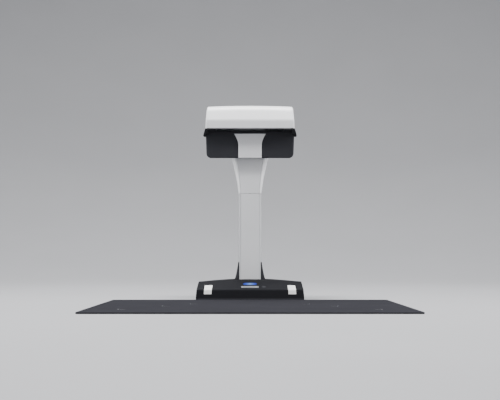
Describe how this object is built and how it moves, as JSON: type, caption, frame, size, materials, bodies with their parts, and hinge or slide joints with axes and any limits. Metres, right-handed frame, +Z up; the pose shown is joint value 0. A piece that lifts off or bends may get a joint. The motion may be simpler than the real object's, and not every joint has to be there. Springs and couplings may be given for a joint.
{
  "type": "book scanner",
  "caption": "Overhead book scanner: weighted base with keys, column, head with a sweeping lens and lamp carriage behind a window, and a dark background mat",
  "frame": {"origin": "bottom centre of the whole object, scanner and mat together, on the surface it stands on", "axes": "+X to the reader's right, +Y away from the reader, +Z up; the scanner faces -Y"},
  "size_m": [0.528, 0.522, 0.383],
  "materials": {
    "white_shell": "fine satin moulded plastic",
    "grey_panel": "silver-grey satin paint on plastic",
    "dark_shell": "charcoal plastic with a fine moulded texture",
    "black_plastic": "black plastic",
    "key_grey": "satin silver-grey key",
    "reference_white": "plain matt white",
    "status_blue": "clear blue light guide, lit",
    "steel": "plated sheet steel",
    "ballast": "zinc-plated steel slab",
    "screw_steel": "dark zinc-plated steel",
    "rubber": "black rubber",
    "circuit_board": "green circuit board",
    "brass": "turned brass",
    "window_glass": "smoked clear window",
    "lens_glass": "coated lens glass",
    "lamp_cover": "milky lamp diffuser",
    "gear_plastic": "natural acetal",
    "harness": "black cable sleeve",
    "mat_sheet": "charcoal vinyl with a fine grain",
    "mat_backing": "non-slip foam rubber"
  },
  "bodies": {
    "scanner_body": {"base_cover": "dark_shell", "base_tray": "dark_shell", "ballast_plate": "ballast", "rubber_feet": "rubber", "base_screws": "screw_steel", "white_reference_left": "reference_white", "white_reference_right": "reference_white", "status_light": "status_blue", "key_board": "circuit_board", "main_board": "circuit_board", "board_standoffs": "brass", "usb_socket": "steel", "power_inlet": "black_plastic", "column_boot": "dark_shell", "column_spine": "steel", "column_front_cover": "grey_panel", "column_rear_cover": "grey_panel", "spine_screws": "screw_steel", "wire_harness": "harness", "neck_shell": "white_shell", "neck_front_panel": "grey_panel", "head_top_cover": "white_shell", "head_housing": "dark_shell", "chin_panel": "grey_panel", "window_bezel": "black_plastic", "lens_window": "window_glass", "lamp_window_left": "window_glass", "lamp_window_right": "window_glass", "head_frame": "steel", "head_board": "circuit_board", "head_screws": "screw_steel", "pivot_bushings": "brass", "idler_post": "steel", "stepper_motor": "steel", "motor_screws": "screw_steel", "home_sensor": "black_plastic"},
    "carriage": {"carriage_frame": "black_plastic", "pivot_pins": "steel", "camera_body": "black_plastic", "lens_barrel": "black_plastic", "lens_glass": "lens_glass", "sensor_board": "circuit_board", "lamp_left": "lamp_cover", "lamp_right": "lamp_cover", "drive_sector": "gear_plastic"},
    "idler": {"idler_gear": "gear_plastic"},
    "rotor": {"motor_pinion": "brass"},
    "scan_button": {"scan_key": "key_grey"},
    "stop_button": {"stop_key": "dark_shell"},
    "mat": {"mat_sheet": "mat_sheet", "mat_backing": "mat_backing"}
  },
  "joints": [
    {"name": "scan_sweep", "type": "hinge", "parent": "scanner_body", "child": "carriage", "pos_m": [0, 0.137, 0.358], "axis": [-1, 0, 0], "range_deg": [0, 48]},
    {"name": "idler_spin", "type": "hinge", "parent": "scanner_body", "child": "idler", "pos_m": [0.0745, 0.1595, 0.358], "axis": [-1, 0, 0], "range_deg": [-192, 0]},
    {"name": "motor_spin", "type": "hinge", "parent": "scanner_body", "child": "rotor", "pos_m": [0.0785, 0.17495, 0.35386], "axis": [-1, 0, 0], "range_deg": [0, 576]},
    {"name": "scan_press", "type": "slide", "parent": "scanner_body", "child": "scan_button", "axis": [0, 0.3305, -0.9438], "range_m": [0, 0.0008], "stiffness_N_per_m": 400, "springref_m": -0.0006},
    {"name": "stop_press", "type": "slide", "parent": "scanner_body", "child": "stop_button", "axis": [0, 0.3305, -0.9438], "range_m": [0, 0.0008], "stiffness_N_per_m": 400, "springref_m": -0.0006},
    {"name": "mat_slide", "type": "slide", "parent": "scanner_body", "child": "mat", "axis": [0, -1, 0], "range_m": [0, 0.12]}
  ],
  "couplings": [
    {"joint": "idler_spin", "follows": "scan_sweep", "ratio": -4},
    {"joint": "motor_spin", "follows": "scan_sweep", "ratio": 12}
  ]
}
